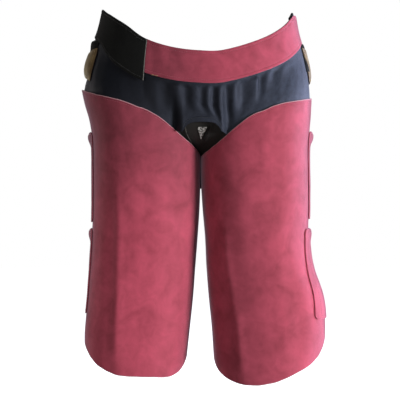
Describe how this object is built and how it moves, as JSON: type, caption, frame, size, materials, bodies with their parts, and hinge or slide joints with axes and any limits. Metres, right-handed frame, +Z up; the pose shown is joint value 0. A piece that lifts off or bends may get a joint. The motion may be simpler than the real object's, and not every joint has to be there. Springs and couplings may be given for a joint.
{
  "type": "farrier apron",
  "caption": "Split-leg suede apron for hoof work, with a wide waistband and belt, gathered cloth yoke, long leg panels, leg straps and hip knife pockets, in its worn form.",
  "frame": {"origin": "middle of the waist opening, level with the belt at the hips", "axes": "+Z up the wearer, -Y out of the front, +X to the wearer's left"},
  "size_m": [0.4877, 0.2753, 0.733],
  "materials": {
    "red_suede": "brushed suede nap, dyed red",
    "black_webbing": "brushed loop face",
    "black_cloth": "plain woven, gathered",
    "grey_weave": "coarse plain weave",
    "tan_leather": "smooth vegetable tan",
    "pale_metal": "pale nickelled rivet head"
  },
  "bodies": {
    "root": {"waistband": "red_suede", "back_belt": "black_webbing", "yoke": "black_cloth", "crotch_gusset": "black_cloth", "gusset_patch": "grey_weave", "leg_panel_right": "red_suede", "leg_panel_left": "red_suede", "thigh_strap_right": "red_suede", "thigh_strap_left": "red_suede", "calf_strap_right": "red_suede", "calf_strap_left": "red_suede", "knife_pocket_right": "tan_leather", "knife_pocket_left": "tan_leather", "pocket_rivet_right": "pale_metal", "pocket_rivet_left": "pale_metal"}
  },
  "joints": []
}
